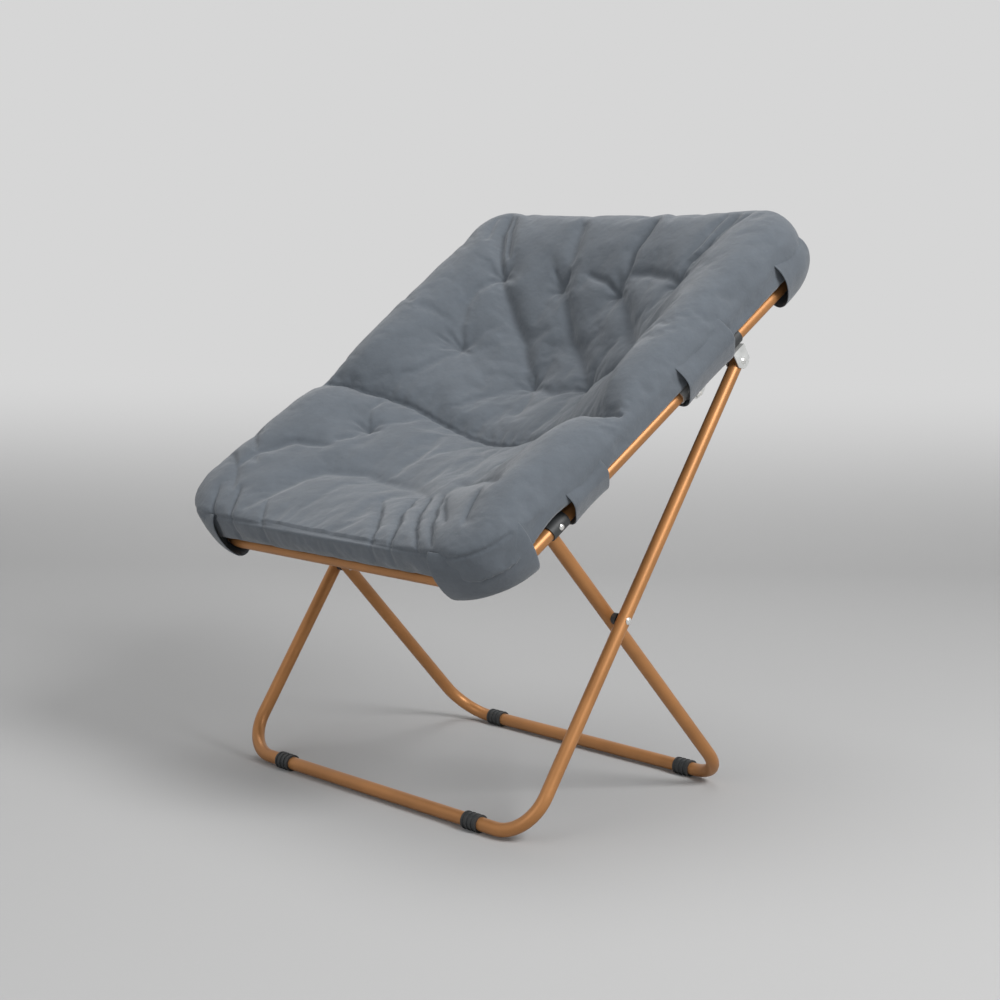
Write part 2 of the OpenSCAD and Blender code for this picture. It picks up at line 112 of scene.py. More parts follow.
class ChairCushionSizes(bpy.types.PropertyGroup):
    """Sizes of the tufted cushion."""
    front_out: bpy.props.FloatProperty(
        name="Front overhang", description="How far the front band stands outside the ring's axis",
        default=0.016, unit="LENGTH")
    side_out: bpy.props.FloatProperty(
        name="Side overhang", description="How far the side rolls stand outside the ring's axis",
        default=0.022, unit="LENGTH")
    back_out: bpy.props.FloatProperty(
        name="Back overhang", description="How far the back's top edge stands outside the ring's axis",
        default=0.006, unit="LENGTH")
    corner: bpy.props.FloatProperty(
        name="Corner radius", description="Corner radius of the outline", default=0.074, unit="LENGTH")
    band_low: bpy.props.FloatProperty(
        name="Band foot", description="Height of the edge band's foot above the ring's axis",
        default=0.014, unit="LENGTH")
    band_high: bpy.props.FloatProperty(
        name="Band top", description="Height of the front band's seam above the ring's axis",
        default=0.056, unit="LENGTH")
    rim_height: bpy.props.FloatProperty(
        name="Rim height", description="Height of the side and back rims above the ring's axis",
        default=0.038, unit="LENGTH")
    side_roll: bpy.props.FloatProperty(
        name="Side roll", description="Distance of the side rolls' tops from the rim",
        default=0.062, unit="LENGTH")
    end_roll: bpy.props.FloatProperty(
        name="End roll", description="Distance of the front and back edges' tops from the rim",
        default=0.032, unit="LENGTH")
    thickness: bpy.props.FloatProperty(
        name="Thickness", description="Thickness under the hollow", default=0.050, unit="LENGTH")
    seam_depth: bpy.props.FloatProperty(
        name="Seam depth", description="How deep the sewn seams pull in", default=0.014, unit="LENGTH")
    tuft_depth: bpy.props.FloatProperty(
        name="Tuft depth", description="How deep the sewn tufts pull in", default=0.022, unit="LENGTH")
    voxel: bpy.props.FloatProperty(
        name="Mesh size", description="Edge length of the simulated skin", default=0.006, unit="LENGTH")
    swell: bpy.props.FloatProperty(
        name="Swell", description="How far the filling may push the skin out", default=0.011, unit="LENGTH")


class ChairFinishes(bpy.types.PropertyGroup):
    """Colours of the finishes."""
    bronze: bpy.props.FloatVectorProperty(
        name="Bronze paint", description="Colour of the tube's paint", subtype="COLOR",
        default=(0.43, 0.196, 0.068))
    slate: bpy.props.FloatVectorProperty(
        name="Slate cloth", description="Colour of the cushion's cloth", subtype="COLOR",
        default=(0.093, 0.109, 0.128))
    plastic: bpy.props.FloatVectorProperty(
        name="Dark plastic", description="Colour of the sleeves, feet and plugs", subtype="COLOR",
        default=(0.030, 0.032, 0.033))
    zinc: bpy.props.FloatVectorProperty(
        name="Zinc plate", description="Colour of the brackets and hinges", subtype="COLOR",
        default=(0.62, 0.63, 0.62))


# Materials

def effect_group(name, outputs, inputs):
    """A new shader node group with a vector and float inputs, and the named outputs."""
    group = bpy.data.node_groups.new(name, "ShaderNodeTree")
    sockets = group.interface
    sockets.new_socket("Vector", in_out="INPUT", socket_type="NodeSocketVector")
    for key, value in inputs.items():
        sockets.new_socket(key, in_out="INPUT", socket_type="NodeSocketFloat").default_value = value
    for key in outputs:
        sockets.new_socket(key, in_out="OUTPUT", socket_type="NodeSocketFloat")
    return group, group.nodes.new("NodeGroupInput"), group.nodes.new("NodeGroupOutput")


def maths(tree, operation, a, b):
    """A math node on two numbers or sockets."""
    node = tree.nodes.new("ShaderNodeMath")
    node.operation = operation
    for k, value in enumerate((a, b)):
        if isinstance(value, (int, float)):
            node.inputs[k].default_value = value
        else:
            tree.links.new(value, node.inputs[k])
    return node.outputs[0]


def noise_mark(tree, vector, scale, detail, rough=0.55):
    """A noise texture's value, its scale from a socket."""
    node = tree.nodes.new("ShaderNodeTexNoise")
    tree.links.new(vector, node.inputs["Vector"])
    tree.links.new(scale, node.inputs["Scale"])
    node.inputs["Detail"].default_value = detail
    node.inputs["Roughness"].default_value = rough
    return node.outputs["Fac"]


def grain_group():
    """Fine grain and broad mottling, used by every hard finish."""
    group, source, sink = effect_group(
        "surface_grain", ("Grain", "Mottle"), {"Grain Scale": 900.0, "Mottle Scale": 14.0})
    for name, detail in (("Grain", 2.0), ("Mottle", 4.0)):
        mark = noise_mark(group, source.outputs["Vector"], source.outputs[f"{name} Scale"], detail)
        group.links.new(mark, sink.inputs[name])
    return group


def weave_group():
    """Crossed threads with a soft nap and small creases, used by all the cloth."""
    group, source, sink = effect_group(
        "cloth_weave", ("Thread", "Nap", "Crumple"),
        {"Thread Scale": 420.0, "Nap Scale": 60.0, "Crumple Scale": 22.0})
    waves = []
    for axis in ("X", "Y"):
        wave = group.nodes.new("ShaderNodeTexWave")
        wave.bands_direction = axis
        group.links.new(source.outputs["Vector"], wave.inputs["Vector"])
        group.links.new(source.outputs["Thread Scale"], wave.inputs["Scale"])
        wave.inputs["Distortion"].default_value = 1.2
        waves.append(wave.outputs["Fac"])
    group.links.new(maths(group, "MULTIPLY", *waves), sink.inputs["Thread"])
    for name, detail, rough in (("Nap", 5.0, 0.7), ("Crumple", 6.0, 0.62)):
        mark = noise_mark(group, source.outputs["Vector"], source.outputs[f"{name} Scale"], detail, rough)
        group.links.new(mark, sink.inputs[name])
    return group


def new_material(name):
    """An empty material, with its shader and the object coordinates."""
    material = bpy.data.materials.new(name)
    material.use_nodes = True
    tree = material.node_tree
    shader = tree.nodes["Principled BSDF"]
    place = tree.nodes.new("ShaderNodeTexCoord").outputs["Object"]
    return material, tree, shader, place


def add_group(tree, group, place, **values):
    """Puts an effect group into a material and gives its outputs."""
    node = tree.nodes.new("ShaderNodeGroup")
    node.node_tree = group
    tree.links.new(place, node.inputs["Vector"])
    for key, value in values.items():
        node.inputs[key.replace("_", " ")].default_value = value
    return node.outputs


def tint(tree, mask, low, high):
    """A colour between two, by a mask."""
    ramp = tree.nodes.new("ShaderNodeValToRGB")
    ramp.color_ramp.elements[0].color = (*low, 1)
    ramp.color_ramp.elements[1].color = (*high, 1)
    ramp.color_ramp.elements[0].position = 0.3
    ramp.color_ramp.elements[1].position = 0.7
    tree.links.new(mask, ramp.inputs["Fac"])
    return ramp.outputs["Color"]


def spread(tree, mask, low, high):
    """A number between two, by a mask."""
    node = tree.nodes.new("ShaderNodeMapRange")
    tree.links.new(mask, node.inputs["Value"])
    node.inputs["To Min"].default_value = low
    node.inputs["To Max"].default_value = high
    return node.outputs["Result"]


def bump(tree, shader, heights, strength, distance):
    """Lets heights tilt the shader's normal."""
    node = tree.nodes.new("ShaderNodeBump")
    node.inputs["Strength"].default_value = strength
    node.inputs["Distance"].default_value = distance
    tree.links.new(heights, node.inputs["Height"])
    tree.links.new(node.outputs["Normal"], shader.inputs["Normal"])


def shade(colour, factor):
    """A colour made darker or lighter."""
    return tuple(min(1.0, c * factor) for c in colour)


def hard_material(name, colour, metallic, rough, grain, change, grain_scale=900.0, mottle_scale=14.0):
    """Painted, moulded or plated finish; change is how far the mottling varies its colour."""
    material, tree, shader, place = new_material(name)
    marks = add_group(tree, GROUPS["grain"], place, Grain_Scale=grain_scale, Mottle_Scale=mottle_scale)
    colours = tint(tree, marks["Mottle"], shade(colour, 1 - change), shade(colour, 1 + change))
    tree.links.new(colours, shader.inputs["Base Color"])
    tree.links.new(spread(tree, marks["Mottle"], rough - 0.06, rough + 0.08), shader.inputs["Roughness"])
    shader.inputs["Metallic"].default_value = metallic
    bump(tree, shader, marks["Grain"], grain, GRAIN_DEPTH)
    return material


def cloth_material(name, colour):
    """Brushed polyester: crossed threads, nap and small creases."""
    material, tree, shader, place = new_material(name)
    marks = add_group(tree, GROUPS["weave"], place)
    mask = maths(
        tree, "ADD", maths(tree, "MULTIPLY", marks["Nap"], 0.6), maths(tree, "MULTIPLY", marks["Crumple"], 0.4))
    tree.links.new(tint(tree, mask, shade(colour, 0.86), shade(colour, 1.14)), shader.inputs["Base Color"])
    tree.links.new(spread(tree, marks["Nap"], 0.78, 0.92), shader.inputs["Roughness"])
    shader.inputs["Sheen Weight"].default_value = 0.25
    shader.inputs["Sheen Roughness"].default_value = 0.5
    height = maths(
        tree, "ADD", maths(tree, "MULTIPLY", marks["Thread"], 0.03),
        maths(tree, "ADD", maths(tree, "MULTIPLY", marks["Nap"], 0.10), marks["Crumple"]))
    bump(tree, shader, height, 0.5, CREASE_DEPTH)
    return material


GROUPS = {}
FINISHES = {}
GRAIN_DEPTH = 0.0002
CREASE_DEPTH = 0.006
RIVET_STEEL = (0.78, 0.78, 0.76)


def make_finishes():
    """Makes the shared groups and one material for each material slot of the frame."""
    look = bpy.context.scene.chair_finishes
    GROUPS["grain"] = grain_group()
    GROUPS["weave"] = weave_group()
    FINISHES["bronze_tube"] = hard_material(
        "bronze_paint", look.bronze, metallic=0.45, rough=0.40, grain=0.10, change=0.10, grain_scale=1500.0)
    FINISHES["dark_plastic"] = hard_material(
        "dark_moulded_plastic", look.plastic, metallic=0.0, rough=0.52, grain=0.35, change=0.15)
    FINISHES["rivet_steel"] = hard_material(
        "bright_rivet_steel", RIVET_STEEL, metallic=0.9, rough=0.30, grain=0.12, change=0.06)
    FINISHES["zinc_steel"] = hard_material(
        "dull_zinc_plate", look.zinc, metallic=0.45, rough=0.46, grain=0.18, change=0.10,
        grain_scale=700.0, mottle_scale=60.0)
    FINISHES["slate_fabric"] = cloth_material("slate_brushed_cloth", look.slate)


# Cushion form, in metres

SKIN_GAP = 0.0012       # the finished skin's distance from the tube
REST_GAP = 0.0015       # the unfilled underside's distance from the tube
REST_WIDTH = 0.042      # the strip inside the rim that lies over the tube
BELLY_REACH = 0.17      # from that strip in to the belly's full depth
KINK_DEPTH = 0.024      # the side rolls' kink where the cross seam ends
KINK_REACH = 0.040
LINE_EASE = 0.018       # how far the corners of the lines below are eased
SWELL_FRAMES = 18


def end_run(size, u):
    """Distance from the nearer of the front and back edges."""
    return np.minimum(u + size.front_out, RING_LEN + size.back_out - u)


def half_at(size, u):
    """Half width of the outline at u, with round corners."""
    inside = np.maximum(0, size.corner - end_run(size, u))
    return RING_HALF + size.side_out - size.corner + np.sqrt(np.maximum(0, size.corner ** 2 - inside ** 2))


def inward(size, u, v):
    """Distance inwards from the outline."""
    end = end_run(size, u)
    half = RING_HALF + size.side_out
    cx, cy = np.abs(v) - (half - size.corner), size.corner - end
    round_part = np.maximum(0, size.corner - np.hypot(cx, cy))
    return np.where((cx > 0) & (cy > 0), round_part, np.minimum(end, half - np.abs(v)))


# Heights along the ring, as (u, w) points: the hollow's middle line and the side rolls' tops
HOLLOW_LINE = ((-0.03, 0.058), (0.02, 0.056), (0.08, 0.036), (0.15, 0.008), (0.235, -0.012), (0.33, -0.042),
               (0.40, -0.050), (0.47, -0.046), (0.53, -0.020), (0.60, 0.032), (0.66, 0.062), (0.71, 0.080),
               (0.76, 0.082))
ROLL_LINE = ((-0.03, 0.066), (0.03, 0.078), (0.10, 0.086), (0.20, 0.082), (0.33, 0.076), (0.45, 0.082),
             (0.55, 0.086), (0.68, 0.090), (0.76, 0.086))
# The cross seam as (v, u) points
SEAM_LINE = ((-0.335, 0.302), (-0.27, 0.314), (-0.22, 0.329), (-0.17, 0.334), (-0.10, 0.330), (0.0, 0.322),
             (0.10, 0.320), (0.17, 0.318), (0.22, 0.310), (0.28, 0.298), (0.335, 0.292))
TUFTS = ((0.250, -0.182), (0.246, 0.176),
         (0.472, -0.186), (0.463, -0.055), (0.467, 0.062), (0.480, 0.182),
         (0.604, -0.186), (0.608, -0.072), (0.604, 0.050), (0.602, 0.180))
# Creases in the cloth: how deep, how wide, and their runs of (u, v) points
CREASES = (
    (0.010, 0.010, ((0.724, -0.250), (0.684, -0.238), (0.650, -0.216), (0.604, -0.186))),
    (0.005, 0.007, ((0.722, -0.236), (0.690, -0.222), (0.656, -0.200), (0.633, -0.186))),
    (0.004, 0.006, ((0.718, -0.272), (0.684, -0.262), (0.655, -0.247))),
    (0.007, 0.013, ((0.604, -0.186), (0.575, -0.163), (0.545, -0.133), (0.520, -0.103), (0.490, -0.078),
                    (0.463, -0.055))),
    (0.004, 0.010, ((0.472, -0.186), (0.492, -0.197), (0.532, -0.209), (0.563, -0.207), (0.604, -0.186))),
    (0.004, 0.005, ((0.472, -0.186), (0.463, -0.214))),
    (0.003, 0.005, ((0.472, -0.186), (0.446, -0.200))),
    (0.009, 0.008, ((0.628, -0.092), (0.608, -0.072), (0.632, -0.062))),
    (0.004, 0.012, ((0.632, -0.062), (0.672, -0.070), (0.710, -0.080))),
    (0.007, 0.008, ((0.604, 0.050), (0.630, 0.062), (0.663, 0.056), (0.699, 0.063), (0.722, 0.068))),
    (0.006, 0.008, ((0.626, -0.020), (0.618, 0.022), (0.604, 0.050))),
    (0.006, 0.010, ((0.625, 0.067), (0.624, 0.110), (0.612, 0.150), (0.602, 0.180))),
    (0.010, 0.010, ((0.602, 0.180), (0.634, 0.186), (0.650, 0.200), (0.680, 0.206), (0.722, 0.222))),
    (0.006, 0.007, ((0.622, 0.196), (0.660, 0.216), (0.692, 0.224), (0.724, 0.246))),
    (0.005, 0.007, ((0.640, 0.176), (0.670, 0.188), (0.705, 0.196), (0.724, 0.204))),
    (0.006, 0.013, ((0.608, -0.072), (0.572, -0.038), (0.533, -0.012), (0.500, 0.032), (0.467, 0.062))),
    (0.006, 0.012, ((0.604, 0.050), (0.567, 0.094), (0.533, 0.120), (0.505, 0.150), (0.480, 0.182))),
    (0.004, 0.012, ((0.463, -0.055), (0.448, 0.003), (0.467, 0.062))),
    (0.005, 0.010, ((0.467, 0.062), (0.476, 0.120), (0.480, 0.182))),
    (0.004, 0.008, ((0.463, -0.055), (0.425, -0.030), (0.390, -0.020))),
    (0.004, 0.008, ((0.467, 0.062), (0.430, 0.090), (0.398, 0.100))),
    (0.005, 0.008, ((0.480, 0.182), (0.440, 0.215), (0.405, 0.232))),
    (0.004, 0.006, ((0.250, -0.182), (0.283, -0.200), (0.308, -0.205))),
    (0.004, 0.006, ((0.198, -0.184), (0.218, -0.180), (0.250, -0.182))),
    (0.003, 0.006, ((0.246, 0.176), (0.222, 0.158), (0.200, 0.150))),
    (0.005, 0.014, ((0.030, -0.170), (0.104, -0.160), (0.132, -0.147), (0.160, -0.100), (0.150, 0.010),
                    (0.118, 0.080))),
    (0.004, 0.008, ((0.110, 0.262), (0.148, 0.190), (0.152, 0.120))),
    (0.005, 0.009, ((0.068, -0.262), (0.112, -0.255), (0.158, -0.226), (0.178, -0.190))),
    (0.004, 0.007, ((0.096, -0.296), (0.070, -0.262), (0.036, -0.236))),
    (0.004, 0.007, ((0.150, -0.300), (0.118, -0.268), (0.090, -0.240))),
    (0.006, 0.0045, ((0.100, 0.010), (0.060, 0.050), (0.010, 0.098), (-0.016, 0.112))),
    (0.007, 0.0045, ((0.118, 0.060), (0.062, 0.094), (0.012, 0.140), (-0.016, 0.152))),
    (0.007, 0.0045, ((0.112, 0.096), (0.060, 0.136), (0.020, 0.176), (-0.012, 0.208))),
    (0.006, 0.0045, ((0.120, 0.120), (0.066, 0.168), (0.022, 0.206), (-0.006, 0.236))),
    (0.004, 0.004, ((0.100, 0.150), (0.064, 0.190), (0.034, 0.226))),
    (0.004, 0.005, ((0.096, 0.236), (0.060, 0.252), (0.030, 0.268))),
    (0.005, 0.0045, ((0.034, -0.262), (-0.004, -0.244), (-0.016, -0.236))),
    (0.005, 0.0045, ((0.042, -0.226), (0.004, -0.204), (-0.016, -0.194))),
    (0.004, 0.0045, ((0.036, -0.160), (0.004, -0.138), (-0.016, -0.122))),
)


def line_height(line, u):
    """Height of a line of (u, w) points at u, with its corners eased."""
    places, heights = (np.array(a) for a in zip(*line))
    return sum(np.interp(u + k * LINE_EASE, places, heights) for k in (-1, -0.5, 0, 0.5, 1)) / 5


def run_distance(run, u, v):
    """Distance of points from a run of (u, v) points, and the share of the run passed."""
    best, share = np.full(np.shape(u), 1.0), np.zeros(np.shape(u))
    for k, ((u0, v0), (u1, v1)) in enumerate(zip(run, run[1:])):
        du, dv = u1 - u0, v1 - v0
        t = np.clip(((u - u0) * du + (v - v0) * dv) / (du * du + dv * dv), 0, 1)
        away = np.hypot(u - u0 - t * du, v - v0 - t * dv)
        share = np.where(away < best, (k + t) / (len(run) - 1), share)
        best = np.minimum(best, away)
    return best, share


def creased(u, v, wide, deep):
    """How deep the creases pull in, made wider and shallower by the two shares."""
    sink = np.zeros(np.shape(u))
    for depth, width, run in CREASES:
        away, share = run_distance(run, u, v)
        ends = 0.35 + 0.65 * np.sqrt(np.clip(4 * share * (1 - share), 0, 1))
        sink = np.maximum(sink, deep * depth * ends * np.exp(-((away / (wide * width)) ** 2)))
    return sink


def tuft_distance(u, v):
    """Distance from the nearest tuft."""
    return np.min([np.hypot(u - tu, v - tv) for tu, tv in TUFTS], axis=0)


def seam_distance(u, v):
    """How far behind the cross seam points lie."""
    places, line = (np.array(a) for a in zip(*SEAM_LINE))
    return u - np.interp(v, places, line)


def pulled_in(size, u, v):
    """How deep the sewing pulls the top in."""
    depth = size.tuft_depth * np.exp(-tuft_distance(u, v) / 0.016)
    depth = np.maximum(depth, creased(u, v, 1.5, 0.8))
    edge = np.clip(inward(size, u, v) / 0.05, 0, 1)
    seam = seam_distance(u, v)
    kink = KINK_DEPTH * np.exp(-((seam / KINK_REACH) ** 2)) * smooth((np.abs(v) - 0.16) / 0.10)
    return (np.maximum(depth, size.seam_depth * np.exp(-((seam / 0.012) ** 2))) + kink) * edge


def edge_heights(size, u, v):
    """Foot and top of the edge band: tall and sewn in front, a soft rim at the sides and back."""
    front = 1 - smooth((u - 0.035) / 0.10)
    foot = size.band_low + 0.010 * np.exp(-(((u - 0.115) / 0.045) ** 2)) * (np.abs(v) > 0.2)
    return foot, size.rim_height + (size.band_high - size.rim_height) * front


def cushion_top(size, u, v):
    """Height of the upper skin: the hollow, the rolls round it, and what the sewing pulls in."""
    hollow, roll = line_height(HOLLOW_LINE, u), line_height(ROLL_LINE, u)
    crest = RING_HALF + size.side_out - size.side_roll
    share = np.clip(np.abs(v) / crest, 0, 1)
    form = hollow + (roll - hollow) * np.clip(1.15 * share ** 2.2 - 0.15 * share ** 6, 0, 1)
    roll_in = size.end_roll + (size.side_roll - size.end_roll) * smooth(end_run(size, u) / 0.11)
    edge = edge_heights(size, u, v)[1]
    return edge + (form - edge) * rise(inward(size, u, v) / roll_in) - pulled_in(size, u, v)


def cushion_under(size, u, v):
    """Height of the lower skin: it rests on the tube and hangs down in a belly inside the ring."""
    deep = inward(size, u, v)
    foot = edge_heights(size, u, v)[0]
    rest = TUBE_R + REST_GAP
    low = np.minimum(line_height(HOLLOW_LINE, u) - size.thickness, rest - 0.006)
    t = np.clip((deep - REST_WIDTH) / BELLY_REACH, 0, 1)
    belly = rest - (rest - low) * (1 - (1 - t) ** 2)
    return np.where(deep < REST_WIDTH, rest + (foot - rest) * (1 - smooth(deep / REST_WIDTH)), belly)


def mesh_object(name, points, faces):
    """A new object from points and faces, in the scene."""
    mesh = bpy.data.meshes.new(name)
    mesh.from_pydata([tuple(p) for p in points], [], faces)
    mesh.update()
    piece = bpy.data.objects.new(name, mesh)
    bpy.context.scene.collection.objects.link(piece)
    return piece


def only(piece):
    """Selects and activates one piece alone."""
    bpy.ops.object.select_all(action="DESELECT")
    piece.select_set(True)
    bpy.context.view_layer.objects.active = piece


def apply_modifiers(piece):
    """Applies the piece's modifiers in their order."""
    only(piece)
    for modifier in list(piece.modifiers):
        bpy.ops.object.modifier_apply(modifier=modifier.name)


def face_outwards(piece):
    """Joins doubled points and turns every face outwards."""
    only(piece)
    bpy.ops.object.mode_set(mode="EDIT")
    bpy.ops.mesh.select_all(action="SELECT")
    bpy.ops.mesh.remove_doubles(threshold=0.00005)
    bpy.ops.mesh.normals_make_consistent(inside=False)
    bpy.ops.object.mode_set(mode="OBJECT")


def finish_piece(piece, finish):
    """Gives a piece its finish and smooth shading."""
    piece.data.materials.clear()
    piece.data.materials.append(FINISHES[finish])
    for polygon in piece.data.polygons:
        polygon.use_smooth = True


def cushion_shell(size):
    """The closed skin before it is filled: loops across, stations along."""
    long_way = size.front_out + RING_LEN + size.back_out
    stations = long_way * (0.5 - 0.5 * np.cos(np.linspace(0.05, math.pi - 0.05, 150))) - size.front_out
    lat = np.sin(np.linspace(-math.pi / 2, math.pi / 2, 121))
    points, rows = [], []
    for u in stations:
        v = lat * half_at(size, u)
        u = np.full_like(v, u)
        rows.append(len(points))
        points.extend(on_ring(u, v, cushion_top(size, u, v)))
        points.extend(on_ring(u, v, cushion_under(size, u, v))[::-1])
    n = 2 * len(lat)
    faces = [(rows[k] + i, rows[k] + (i + 1) % n, rows[k + 1] + (i + 1) % n, rows[k + 1] + i)
             for k in range(len(rows) - 1) for i in range(n)]
    faces.append(tuple(range(rows[0] + n - 1, rows[0] - 1, -1)))
    faces.append(tuple(range(rows[-1], rows[-1] + n)))
    return mesh_object("tufted_cushion", points, faces)


def vertex_array(piece):
    """The piece's points as an array."""
    co = np.zeros(len(piece.data.vertices) * 3)
    piece.data.vertices.foreach_get("co", co)
    return co.reshape(-1, 3)


def set_vertices(piece, co):
    """Moves the piece's points to the array's places."""
    piece.data.vertices.foreach_set("co", co.ravel())
    piece.data.update()


def keep_off_tube(co, clear=TUBE_R + SKIN_GAP):
    """Pushes skin points out of the ring's tube and its sleeves."""
    ring = to_ring(co)
    u, v, w = ring.T
    end = np.minimum(u, RING_LEN - u)
    cx, cy = np.abs(v) - (RING_HALF - RING_BEND), RING_BEND - end
    off = np.where((cx > 0) & (cy > 0), RING_BEND - np.hypot(cx, cy), np.minimum(end, RING_HALF - np.abs(v)))
    near = np.hypot(off, w)
    push = np.clip(clear - near, 0, None)
    ring[:, 2] += np.where(w >= -0.001, push * 1.05, 0)
    return ORIGIN + ring[:, :1] * ALONG + ring[:, 1:2] * ACROSS + ring[:, 2:] * NORMAL


def fill_cushion(piece, size, limit):
    """Cloth simulation under pressure: the skin swells between its tufts and seams."""
    start = vertex_array(piece)
    u, v, w = to_ring(start).T
    above = w > 0.5 * (cushion_top(size, u, v) + cushion_under(size, u, v))
    held = np.zeros(len(start))
    held = np.maximum(held, above * (tuft_distance(u, v) < 0.007))
    held = np.maximum(held, above * (np.abs(seam_distance(u, v)) < 0.005))
    held = np.maximum(held, above * np.clip(creased(u, v, 0.8, 90), 0, 0.7))
    deep = inward(size, u, v)
    foot, head = edge_heights(size, u, v)
    held = np.maximum(held, (~above) * (np.abs(deep - 0.022) < 0.014))
    held = np.maximum(held, (deep < 0.010) * (np.abs(w - head) < 0.005) * (u < 0.04) * 0.9)
    group = piece.vertex_groups.new(name="held")
    for k in np.nonzero(held > 0)[0]:
        group.add([int(k)], float(held[k]), "REPLACE")
    cloth = piece.modifiers.new("Cloth", "CLOTH")
    settings = cloth.settings
    settings.quality = 6
    settings.mass = 0.25
    settings.tension_stiffness = settings.compression_stiffness = 12
    settings.shear_stiffness = 4
    settings.bending_stiffness = 0.25
    settings.vertex_group_mass = "held"
    settings.use_pressure = True
    settings.uniform_pressure_force = 2.0
    settings.shrink_min = -0.010
    settings.effector_weights.gravity = 0
    cloth.collision_settings.use_collision = False
    for frame_number in range(1, SWELL_FRAMES + 1):
        bpy.context.scene.frame_set(frame_number)
    apply_modifiers(piece)
    bpy.context.scene.frame_set(1)
    moved = vertex_array(piece) - start
    length = np.linalg.norm(moved, axis=1, keepdims=True)
    moved *= np.minimum(1, limit / np.maximum(length, 1e-9))
    set_vertices(piece, keep_off_tube(start + moved))


def wander(u, v, scale, seed):
    """Slow irregular shifts between about -1 and 1, the same on each run."""
    return np.array([noise.noise(Vector((a * scale, b * scale, seed))) for a, b in zip(u, v)])


def sew_and_crumple(piece, size):
    """Sharpens the seams, tufts and creases on the filled skin and lets it wander a little."""
    co = vertex_array(piece)
    u, v, w = to_ring(co).T
    normals = np.zeros(len(co) * 3)
    piece.data.vertices.foreach_get("normal", normals)
    normals = normals.reshape(-1, 3)
    above = smooth((normals @ NORMAL + 0.35) / 0.4)
    deep = inward(size, u, v)
    drift, fine = wander(u, v, 9.0, 1.5), wander(u, v, 34.0, 4.5)
    seam = np.abs(seam_distance(u, v) + 0.0015 * fine)
    sink = 0.0055 * np.exp(-((seam / 0.0035) ** 2)) * (deep > 0.012)
    sink = np.maximum(sink, creased(u + 0.003 * drift, v + 0.003 * fine, 0.62, 0.75))
    sink = np.maximum(sink, 0.009 * np.exp(-tuft_distance(u, v) / 0.006))
    spokes = np.zeros(len(u))
    for tu, tv in TUFTS:
        around, away = np.arctan2(u - tu, v - tv), np.hypot(u - tu, v - tv)
        spokes += np.cos(6 * around + 40 * tu + 9 * tv) * np.exp(-(((away - 0.014) / 0.010) ** 2))
    pucker = np.sin(v * 260 + 7 * drift) * np.exp(-(((seam - 0.010) / 0.012) ** 2))
    lift = 0.0012 * spokes + 0.0009 * pucker * (deep > 0.02) + 0.0022 * drift + 0.0011 * fine
    foot, head = edge_heights(size, u, v)
    piping = np.exp(-(((w - head - 0.001) / 0.0022) ** 2)) * (deep < 0.012) * (u < 0.05)
    co += normals * ((lift - sink) * above - 0.0030 * piping)[:, None]
    set_vertices(piece, keep_off_tube(co))


class CHAIR_OT_cushion(bpy.types.Operator):
    """Make the tufted cushion that lies in the ring"""
    bl_idname = "chair.cushion"
    bl_label = "Tufted cushion"

    def execute(self, context):
        size = context.scene.chair_cushion
        piece = cushion_shell(size)
        face_outwards(piece)
        remesh = piece.modifiers.new("Remesh", "REMESH")
        remesh.mode = "VOXEL"
        remesh.voxel_size = size.voxel
        apply_modifiers(piece)
        fill_cushion(piece, size, size.swell)
        soften = piece.modifiers.new("Subdivision", "SUBSURF")
        soften.levels = soften.render_levels = 1
        apply_modifiers(piece)
        sew_and_crumple(piece, size)
        finish_piece(piece, "slate_fabric")
        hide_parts("seat_pad", "back_pad")
        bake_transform(piece)
        return {"FINISHED"}


# Straps, in metres and degrees

CLOTH_THICKNESS = 0.0016
FRONT_POCKET_ARC = (4, 82)      # round the ring's corner, from the end bar
BACK_POCKET_ARC = (58, 114)     # past 90 it goes on along the side
PAST_CORNER = 0.001             # metres along the side for each degree past 90
FRONT_LOOP_RUN = (0.148, 0.222)
BACK_FLAP_RUN = (0.404, 0.515)
FLAP_SLACK = 1.14


def strap(name, rows):
    """A cloth strap round a tube, from rows of points, thickened and smoothed."""
    rows = np.asarray(rows)
    n, m = rows.shape[:2]
    faces = [(i * m + j, i * m + j + 1, (i + 1) * m + j + 1, (i + 1) * m + j)
             for i in range(n - 1) for j in range(m - 1)]
    piece = mesh_object(name, rows.reshape(-1, 3), faces)
    thick = piece.modifiers.new("Solidify", "SOLIDIFY")
    thick.thickness = CLOTH_THICKNESS
    thick.offset = 0
    soften = piece.modifiers.new("Subdivision", "SUBSURF")
    soften.levels = soften.render_levels = 1
    apply_modifiers(piece)
    face_outwards(piece)
    finish_piece(piece, "slate_fabric")
    return piece


# Rounds of cloth about the tube, as (outwards, up) points from the cushion's side down and back up
FRONT_POCKET_ROUND = ((0.0120, 0.060), (0.0215, 0.052), (0.0255, 0.034), (0.0240, 0.012), (0.0200, -0.004),
                      (0.0140, -0.016), (0.0050, -0.0215), (-0.0040, -0.0205), (-0.0105, -0.013),
                      (-0.0128, -0.003), (-0.0120, 0.006))
BACK_POCKET_ROUND = ((0.0060, 0.056), (0.0220, 0.044), (0.0290, 0.028), (0.0280, 0.012), (0.0230, -0.001),
                     (0.0160, -0.013), (0.0060, -0.020), (-0.0040, -0.0205), (-0.0105, -0.013),
                     (-0.0128, -0.003), (-0.0120, 0.006))
LOOP_ROUND = ((0.0080, 0.046), (0.0200, 0.034), (0.0262, 0.020), (0.0225, 0.010), (0.0185, 0.002),
              (0.0140, -0.007), (0.0080, -0.0125), (-0.0010, -0.0138), (-0.0088, -0.0102),
              (-0.0125, -0.002), (-0.0120, 0.006))


